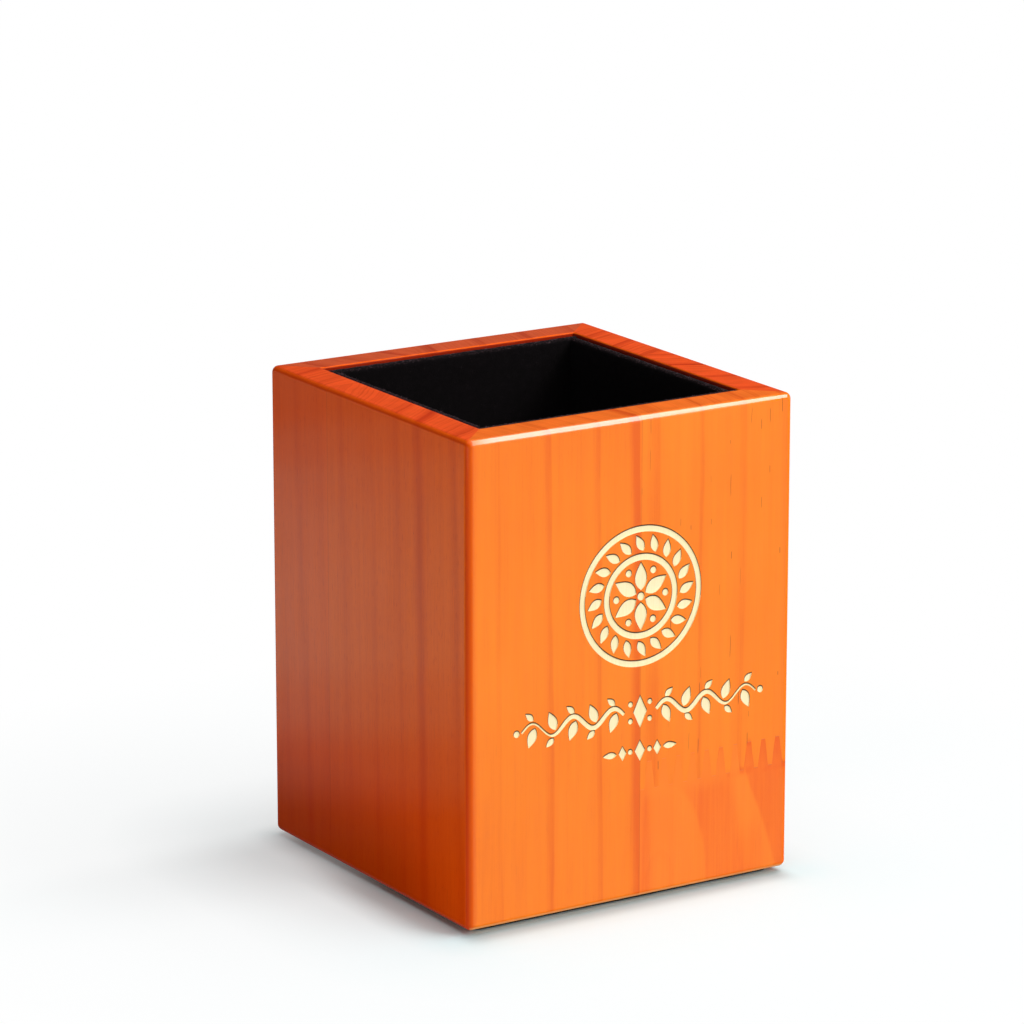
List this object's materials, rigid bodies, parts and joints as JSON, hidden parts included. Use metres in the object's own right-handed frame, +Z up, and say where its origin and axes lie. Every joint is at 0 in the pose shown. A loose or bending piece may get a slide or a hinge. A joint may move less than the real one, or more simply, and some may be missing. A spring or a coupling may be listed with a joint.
{
  "type": "pen cup",
  "caption": "Square open-topped wooden cup for pens, of mitred glued panels with a black felt lining and a felt pad under it.",
  "frame": {"origin": "centre of the underside, on the surface the cup stands on", "axes": "+Z up through the open mouth, -Y out of the engraved front panel, +X to the right seen from the front"},
  "size_m": [0.083, 0.083, 0.109],
  "materials": {
    "front_wood": "straight-grained pine stained orange under gloss lacquer",
    "front_wood_flat_sawn": "flat-sawn pine stained orange under gloss lacquer",
    "side_wood": "pine stained orange-red under gloss lacquer",
    "board_wood": "bare plywood",
    "black_felt": "black felt, short nap"
  },
  "bodies": {
    "root": {"front_stave_left": "front_wood", "front_stave_right_upper": "front_wood", "front_stave_right_lower": "front_wood_flat_sawn", "left_stave_front": "side_wood", "left_stave_rear": "side_wood", "right_stave_front": "side_wood", "right_stave_rear": "side_wood", "back_stave_left": "side_wood", "back_stave_right": "side_wood", "bottom_board": "board_wood", "lining_front": "black_felt", "lining_back": "black_felt", "lining_left": "black_felt", "lining_right": "black_felt", "lining_floor": "black_felt", "base_pad": "black_felt"}
  },
  "joints": []
}
